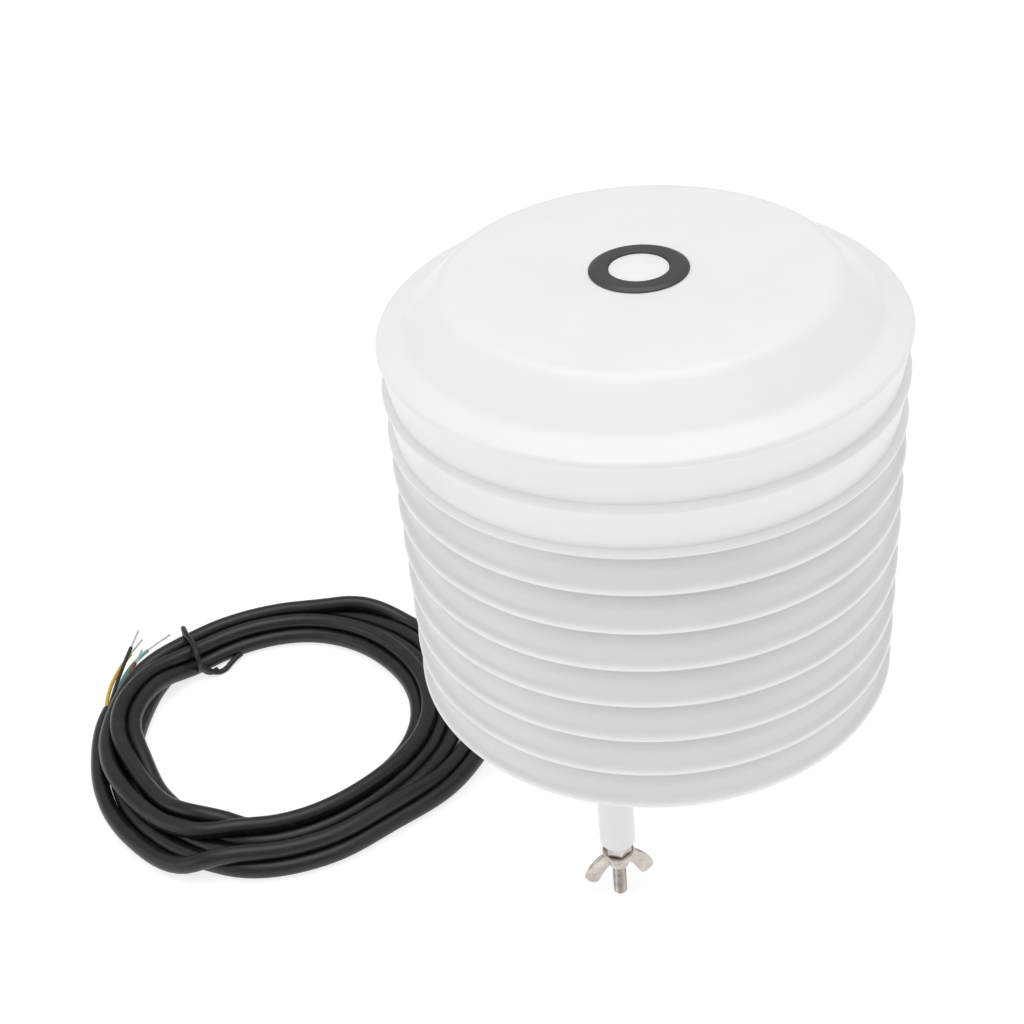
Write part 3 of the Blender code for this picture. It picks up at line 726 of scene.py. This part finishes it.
def tie_round_coil():
    """A thick soft wire bent once round the bundle, with one end hooked away along its inner side.

    The loop is a rounded rectangle, (w c, h s) with c and s the cosine and sine of its angle, each
    drawn towards 1 by a power below 1, and it leans along the bundle by a share of its cosine.
    """
    half_width, half_height, lean = 0.0096, 0.0051, 0.0034
    bundle_radius, bundle_height = 0.0543, 0.0062
    outward = np.append(np.subtract(middle_of("cable_tie"), COIL_CENTRE), 0.0)
    outward /= np.linalg.norm(outward)
    along = np.array([outward[1], -outward[0], 0.0])
    middle = np.array([*COIL_CENTRE, 0.0]) + outward * bundle_radius
    angle = np.linspace(0.0, math.tau, 64, endpoint=False)
    cosine, sine = np.cos(angle), np.sin(angle)
    across = np.sign(cosine) * np.abs(cosine) ** 0.7 * half_width
    upward = bundle_height + np.sign(sine) * np.abs(sine) ** 0.8 * half_height
    loop = middle + outward * across[:, None] + along * (lean * cosine)[:, None]
    loop[:, 2] = upward
    shape = tube(Shape(), loop, TIE_RADIUS, 14, loop=True)
    # Each end in millimetres: outwards from the loop's middle, along the bundle, and upwards
    ends = [
        [(-9.2, -3.6, 6.6), (-10.6, -2.2, 4.6), (-11.8, -0.2, 2.4), (-12.6, 2.2, 1.2), (-12.8, 4.8, 1.2),
         (-12.2, 7.2, 1.6), (-11.6, 10.2, 2.0), (-11.2, 12.6, 1.9)],
        [(-9.0, -3.0, 4.6), (-10.2, -1.6, 2.4), (-10.9, 0.4, 1.4), (-10.8, 2.4, 1.3)],
    ]
    for end in ends:
        out, forward, height = np.array(end).T[:, :, None] / 1000.0
        route = middle + outward * out + along * forward + UPRIGHT * height
        tube(shape, smooth_through(route, 6), TIE_RADIUS, 12)
    return stand_for(shape.made("wire_tie", JACKET), "cable_tie", slot="black_cable")


core_pieces = lay_cores(cable_path)
tie_piece = tie_round_coil()


# ---------------------------------------------------------------- shield stack


def boss(shape, place, low, high):
    """A plain round pillar about a rod: an upright line turned about it, with its top edge eased."""
    radius, ease = 0.0048, 0.0003
    outline = [(0.0006, high), (radius - ease, high), (radius, high - ease), (radius, low), (0.0006, low)]
    return turned(shape, outline, place, 40, solid=True)


def plate_outline():
    """Section of one plate: flat web, falling shoulder that steepens to upright, and a thin lip."""
    corners = [
        (CHAMBER_RADIUS, 0.0099), (0.0560, 0.0099), (0.0605, 0.0092), (0.0636, 0.0074), (0.0654, 0.0052),
        (0.0663, 0.0034), (0.0672, 0.0021), (RIM_RADIUS, 0.0014), (RIM_RADIUS, 0.0), (0.0672, 0.0),
        (0.0655, 0.0010), (0.0644, 0.0042), (0.0624, 0.0064), (0.0598, 0.0078), (0.0560, 0.0083),
        (CHAMBER_RADIUS, 0.0083),
    ]
    radii = [
        0.0003, 0.0030, 0.0025, 0.0022, 0.0018, 0.0010, 0.0009, 0.0007, 0.00045, 0.0004,
        0.0010, 0.0016, 0.0020, 0.0020, 0.0030, 0.0003,
    ]
    return rounded(corners, radii, 5)


def make_plates():
    """Each plate is its section turned about the shield's axis, with a boss round each rod."""
    for name, rim in zip(PLATES, PLATE_RIMS):
        shape = turned(Shape(), plate_outline(), lift=rim)
        inside_web = rim + 0.0088
        for place in LEG_PLACES:
            boss(shape, place, inside_web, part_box(name)[1][2])
        stand_for(shape.made(name + "_shell", WHITE_SHELL), name, slot="white_shell")


def make_housing_base():
    """A turned section: flat floor, short upright wall, and a flange that slopes out to the rim."""
    floor = BASE_RIM + 0.0112
    corners = [
        (0.0008, floor), (0.0640, floor), (0.0650, floor - 0.0010), (0.0650, BASE_RIM + 0.0021),
        (0.0689, BASE_RIM + 0.0009), (RIM_RADIUS, BASE_RIM), (0.0672, BASE_RIM),
        (0.0660, BASE_RIM + 0.0007), (0.0634, BASE_RIM + 0.0012), (0.0632, floor - 0.0032),
        (0.0626, floor - 0.0020), (0.0008, floor - 0.0020),
    ]
    radii = [
        0.0002, 0.0004, 0.0004, 0.0002, 0.00045, 0.00045, 0.0004, 0.0010, 0.0008, 0.0012, 0.0008, 0.0002,
    ]
    shape = turned(Shape(), rounded(corners, radii, 4))
    stand_for(shape.made("housing_floor", WHITE_SHELL), "housing_base", slot="white_shell")


def make_housing_ring():
    """A turned section: spigot inside the cap, sloped ledge, and a wall that draws in to the base."""
    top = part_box("housing_ring")[1][2]
    rim = HOUSING_RIM
    foot = BASE_RIM + 0.0014
    corners = [
        (0.0620, top), (0.0646, top), (0.0646, rim + 0.0023), (0.0656, rim + 0.0022),
        (0.0689, rim + 0.0008), (RIM_RADIUS, rim), (0.0685, rim - 0.0002), (WALL_FOOT_RADIUS, foot),
        (0.0654, foot), (0.0654, rim - 0.0010), (0.0620, rim + 0.0015),
    ]
    radii = [0.0003, 0.0003, 0.0001, 0.0006, 0.0006, 0.0005, 0.0003, 0.0002, 0.0002, 0.0004, 0.0004]
    shape = turned(Shape(), rounded(corners, radii, 5))
    stand_for(shape.made("housing_wall", WHITE_SHELL), "housing_ring", slot="white_shell")


def make_top_cap():
    """A turned section: flat top, straight slope, shallow brim, and a wall that draws in below it."""
    foot = HOUSING_RIM + 0.0015
    thickness = 0.0022
    corners = [
        (0.0106, CAP_TOP), (0.0508, CAP_TOP), (0.0616, CAP_RIM + 0.0034), (0.0684, CAP_RIM + 0.0014),
        (RIM_RADIUS, CAP_RIM), (0.0685, CAP_RIM - 0.0003), (WALL_FOOT_RADIUS, foot), (0.0652, foot),
        (0.0652, CAP_RIM - 0.0024), (0.0608, CAP_RIM - 0.0024), (0.0590, CAP_RIM + 0.0016),
        (0.0500, CAP_TOP - thickness), (0.0106, CAP_TOP - thickness),
    ]
    radii = [
        0.0004, 0.0024, 0.0016, 0.0007, 0.0005, 0.0003, 0.0002, 0.0002, 0.0004, 0.0004, 0.0020, 0.0020,
        0.0003,
    ]
    shape = turned(Shape(), rounded(corners, radii, 7))
    stand_for(shape.made("cap_shell", WHITE_SHELL), "top_cap", slot="white_shell")


def make_light_sensor():
    """A turned bezel, and a diffuser whose top falls with its radius to the power of 2.5."""
    low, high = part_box("sensor_bezel")
    top = high[2] - 0.0008
    seat = CAP_TOP + 0.0001
    corners = [
        (0.0079, top), (0.0083, top + 0.0002), (0.0116, top + 0.0002), (0.0129, top - 0.0004),
        (0.0129, seat), (0.0100, seat), (0.0100, low[2]), (0.0079, low[2]),
    ]
    radii = [0.0002, 0.0003, 0.0004, 0.0004, 0.0001, 0.0001, 0.0003, 0.0003]
    shape = turned(Shape(), rounded(corners, radii, 5), around=128)
    stand_for(shape.made("bezel_turned", BLACK_BEZEL), "sensor_bezel", slot="black_plastic")
    edge, crown, fall = 0.0077, 0.0003, 0.0007
    radius = np.linspace(0.0002, edge, 18)
    dome = top + crown - fall * (radius / edge) ** 2.5
    foot = CAP_TOP - 0.0018
    outline = [*zip(radius, dome), (edge, foot), (0.0002, foot)]
    lens = turned(Shape(), outline, around=96, solid=True).made("diffuser_dome", DIFFUSER)
    stand_for(lens, "light_diffuser", slot="white_diffuser")


make_plates()
make_housing_base()
make_housing_ring()
make_top_cap()
make_light_sensor()


# ---------------------------------------------------------------- legs


def threaded_rod(number, place):
    """A rod whose radius follows a screw thread: r = R - depth * tooth(z / pitch - angle / turn).

    The tooth is a triangle wave with a flattened crest. It fades out above the threaded length,
    where the rod is hidden and plain, and a cone takes the edge off the rod's tip.
    """
    low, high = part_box(f"threaded_rod_{number}")
    pitch, depth, radius, threaded, tip = 0.0007, 0.00036, 0.0020, 0.0240, 0.0008
    around = 24
    angle = np.arange(around) * math.tau / around
    fine = np.arange(0.0, threaded, pitch / 8)
    z = np.concatenate([fine, [threaded + 0.0005, high[2] - low[2]]])[:, None]
    phase = z / pitch - angle / math.tau
    wave = np.abs(2.0 * (phase - np.floor(phase)) - 1.0)
    tooth = np.clip(1.25 * wave - 0.12, 0.0, 1.0)
    fade = np.clip((threaded + 0.0003 - z) / 0.0006, 0.0, 1.0)
    cone = np.maximum(tip - z, 0.0) * 0.75
    r = np.minimum(radius - depth * tooth * fade, radius - cone)
    x, y = place[0] + r * np.cos(angle), place[1] + r * np.sin(angle)
    points = np.stack(np.broadcast_arrays(x, y, z + low[2]), axis=-1)
    shape = Shape().add(points, grid_faces(len(z), around))
    last = (len(z) - 1) * around
    shape.caps(np.arange(around)[::-1], last + np.arange(around))
    piece = shape.made(f"rod_threads_{number}", NICKEL, 70.0)
    stand_for(piece, f"threaded_rod_{number}", slot="nickel_steel")


def hexagon_nut(node, place, turn):
    """A nut with corners chamfered as a 30 degree cone cuts them.

    At angle a the hexagon's radius is flats/2 / cos(a'), a' being the angle from the middle of its
    flat; the chamfer lowers each end face by (radius - cone radius) * tan 30.
    """
    flats, bore, ease = 0.0070, 0.00205, 0.00025
    around = 96
    bottom, top = (corner[2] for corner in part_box(node))
    angle = np.arange(around) * math.tau / around
    from_flat = (angle - turn + math.pi / 6) % (math.pi / 3) - math.pi / 6
    hexagon = flats / 2 / np.cos(from_flat)
    cone = flats / 2 * 0.97
    drop = np.maximum(hexagon - cone, 0.0) * math.tan(math.radians(30))
    face = np.minimum(hexagon, cone)
    rings = [
        (bore, top - ease), (bore + ease, top), (face, top), (hexagon, top - drop),
        (hexagon, bottom + drop), (face, bottom), (bore + ease, bottom), (bore, bottom + ease),
    ]
    points = [
        np.stack(np.broadcast_arrays(place[0] + r * np.cos(angle), place[1] + r * np.sin(angle), h), axis=-1)
        for r, h in rings
    ]
    faces = grid_faces(len(rings), around, close_rows=True)[:, ::-1]
    piece = Shape().add(np.array(points), faces).made(node + "_turned", NICKEL, 25.0)
    stand_for(piece, node, slot="nickel_steel")


def wing_nut(number, place):
    """A turned hub with two cast wings.

    Each wing is an outline in its upright plane, swept across its thickness: half thickness is
    t (1 - e^4)^(1/2) with e the share of the way from the wing's middle to its edge.
    """
    node = f"wing_nut_{number}"
    top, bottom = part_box(node)[1][2], 0.0122
    hub = [
        (0.0021, top), (0.0046, top), (0.0046, top - 0.0013), (0.0035, top - 0.0028),
        (0.0031, bottom + 0.0004), (0.0029, bottom), (0.0021, bottom),
    ]
    radii = [0.0002, 0.0004, 0.0006, 0.0008, 0.0003, 0.0003, 0.0002]
    shape = turned(Shape(), rounded(hub, radii, 5), place, 64)
    outline = smooth_through(
        [
            (0.0026, 0.0168), (0.0040, 0.0172), (0.0062, 0.0157), (0.0086, 0.0130), (0.0101, 0.0102),
            (0.0102, 0.0085), (0.0091, 0.0069), (0.0074, 0.0060), (0.0063, 0.0066), (0.0051, 0.0090),
            (0.0037, 0.0113), (0.0026, 0.0125), (0.0024, 0.0148), (0.0026, 0.0168),
        ],
        5,
    )[:-1]
    middle = np.array([0.0062, 0.0116])
    half_thickness = 0.00095
    share = np.array([0.45, 0.75, 0.90, 0.97, 1.0, 0.97, 0.90, 0.75, 0.45])
    face = np.array([1, 1, 1, 1, 0, -1, -1, -1, -1])
    across = (face * half_thickness * np.sqrt(1.0 - share**4))[:, None, None]
    rings = middle + (outline - middle) * share[:, None, None]
    count = len(outline)
    for side in (0.0, math.pi):
        heading = WING_HEADINGS[number - 1] + side
        out = np.array([math.cos(heading), math.sin(heading), 0.0])
        thick = np.array([-math.sin(heading), math.cos(heading), 0.0])
        points = np.array([*place, 0.0]) + out * rings[..., :1] + thick * across + UPRIGHT * rings[..., 1:]
        first = shape.count
        shape.add(points, grid_faces(len(share), count))
        last = first + (len(share) - 1) * count
        shape.caps(first + np.arange(count)[::-1], last + np.arange(count))
    piece = shape.made(f"wing_nut_cast_{number}", NICKEL, 50.0)
    stand_for(piece, node, body=node, slot="nickel_steel")


def leg_sleeve(number, place):
    """A plain tube: a turned rectangle with eased corners."""
    node = f"leg_sleeve_{number}"
    bottom, top = (corner[2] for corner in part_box(node))
    corners = [(0.0024, top), (0.0050, top), (0.0050, bottom), (0.0024, bottom)]
    sleeve = turned(Shape(), rounded(corners, [0.0002, 0.0004, 0.0004, 0.0002], 4), place, 64)
    stand_for(sleeve.made(f"sleeve_tube_{number}", WHITE_SLEEVE), node, slot="white_sleeve")


def make_legs():
    """Rod, sleeve, two hexagon nuts with a flat towards the shield's axis, and wing nut of each leg."""
    for number, place in zip(LEGS, LEG_PLACES):
        threaded_rod(number, place)
        leg_sleeve(number, place)
        for kind in ("hex_nut", "rod_top_nut"):
            hexagon_nut(f"{kind}_{number}", place, math.atan2(place[1], place[0]))
        wing_nut(number, place)


def make_gland_nut():
    """A turned dome that narrows round the cable."""
    low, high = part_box("gland_dome_nut")
    corners = [
        (0.00275, high[2]), (0.0080, high[2]), (0.0080, high[2] - 0.0050), (0.0068, high[2] - 0.0084),
        (0.0046, low[2]), (0.00275, low[2]),
    ]
    dome = turned(Shape(), rounded(corners, [0.0002, 0.0005, 0.0010, 0.0016, 0.0006, 0.0002], 5), GLAND, 64)
    stand_for(dome.made("gland_dome", BLACK_MOULDED), "gland_dome_nut", slot="black_plastic")


def make_probe():
    """A turned filter cap with a round nose, and a turned barrel with a shoulder, on one axis."""
    low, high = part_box("probe_filter")
    outline = [
        (0.0003, high[2]), (0.0060, high[2]), (0.0062, high[2] - 0.0002), (0.0062, low[2] + 0.0040),
        (0.0059, low[2] + 0.0024), (0.0051, low[2] + 0.0010), (0.0038, low[2] + 0.0002), (0.0003, low[2]),
    ]
    cap = turned(Shape(), outline, PROBE, 64, solid=True).made("probe_cap", SINTERED)
    stand_for(cap, "probe_filter", slot="sintered_metal")
    low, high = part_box("probe_body")
    shoulder = BASE_RIM + 0.0089
    outline = [
        (0.0003, high[2]), (0.0048, high[2]), (0.0048, shoulder), (0.0073, shoulder),
        (0.0075, shoulder - 0.0003), (0.0075, shoulder - 0.0025), (0.0072, shoulder - 0.0028),
        (0.0056, shoulder - 0.0028), (0.0056, low[2] + 0.0003), (0.0053, low[2]), (0.0003, low[2]),
    ]
    barrel = turned(Shape(), outline, PROBE, 64, solid=True).made("probe_barrel", BLACK_MOULDED)
    stand_for(barrel, "probe_body", slot="black_plastic")


make_legs()
make_gland_nut()
make_probe()


# ---------------------------------------------------------------- inner nodes that stay


def refinish_inner_nodes():
    """Gives the CAD pieces that stay their finish."""
    finishes = {
        "main_board": BOARD,
        "light_sensor_board": BOARD,
        "bezel_seal": SEAL_RUBBER,
        "cap_seal": SEAL_RUBBER,
        "bezel_ring_nut": BLACK_MOULDED,
        "gland_body": BLACK_MOULDED,
        "gland_lock_nut": BLACK_MOULDED,
        "probe_nut": BLACK_MOULDED,
    }
    for kind in ("board_screw", "cap_screw"):
        for number in LEGS:
            finishes[f"{kind}_{number}"] = NICKEL
    for node, finish in finishes.items():
        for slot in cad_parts[node].material_slots:
            slot.material = finish


refinish_inner_nodes()
